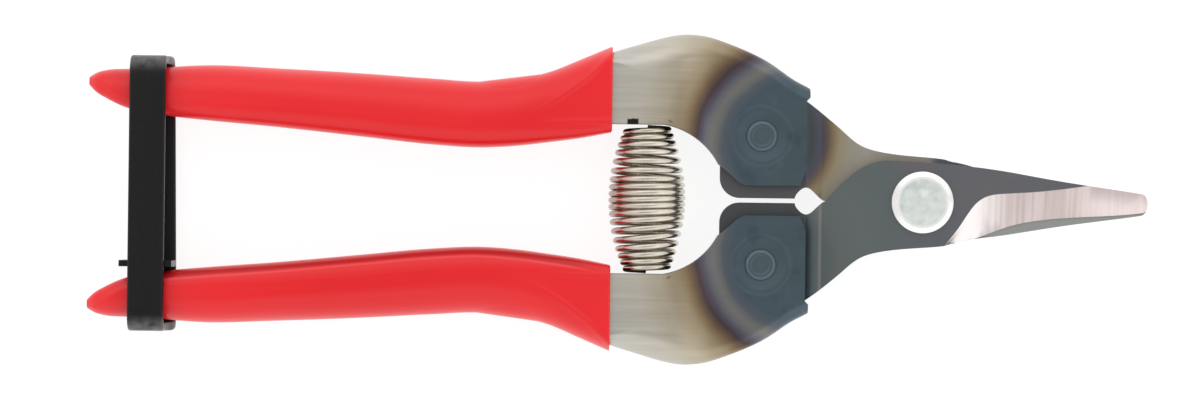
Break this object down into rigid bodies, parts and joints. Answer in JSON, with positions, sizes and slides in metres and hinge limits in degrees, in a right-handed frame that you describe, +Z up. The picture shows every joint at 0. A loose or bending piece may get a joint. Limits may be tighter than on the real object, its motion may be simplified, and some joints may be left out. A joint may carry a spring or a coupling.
{
  "type": "floral snips",
  "caption": "Small bypass floral snips with red vinyl grips on pressed steel handles, a barrel spring between them and a black strap that holds them shut.",
  "frame": {"origin": "middle of the closed snips' length and width, at the height of the surface they lie on", "axes": "+X along the snips towards the blades' tips, +Y across the handles towards the upper handle, +Z up, out of the face with the pivot rivet's round head"},
  "size_m": [0.1896, 0.0592, 0.0141],
  "materials": {
    "blade_steel": "heat-tinted blade steel, ground bright on the bevel",
    "handle_steel": "pressed steel with a straw to blue heat tint, satin",
    "grip_vinyl": "glossy red vinyl",
    "zinc_rivet": "bright zinc plating, satin",
    "spring_nickel": "bright nickel plating",
    "black_strap": "smooth black strap"
  },
  "bodies": {
    "lower_half": {"front_blade": "blade_steel", "lower_handle_shell": "handle_steel", "lower_grip": "grip_vinyl", "lower_tang_rivet": "handle_steel", "pivot_rivet": "zinc_rivet", "spring": "spring_nickel"},
    "upper_half": {"rear_blade": "blade_steel", "upper_handle_shell": "handle_steel", "upper_grip": "grip_vinyl", "upper_tang_rivet": "handle_steel"},
    "strap": {"strap_band": "black_strap", "strap_keeper": "black_strap"}
  },
  "joints": [
    {"name": "handle_open", "type": "hinge", "parent": "lower_half", "child": "upper_half", "pos_m": [0.0544, 0, 0.00705], "axis": [0, 0, -1], "range_deg": [-1.2, 28], "deforming": ["spring", "strap_band", "strap_keeper"]},
    {"name": "strap_swing", "type": "hinge", "parent": "lower_half", "child": "strap", "pos_m": [-0.0837, -0.0183, 0.00705], "axis": [0, 0, 1], "range_deg": [-1, 21.5], "deforming": ["strap_band", "strap_keeper"]}
  ],
  "couplings": [
    {"joint": "strap_swing", "follows": "handle_open", "ratio": 0.75}
  ]
}
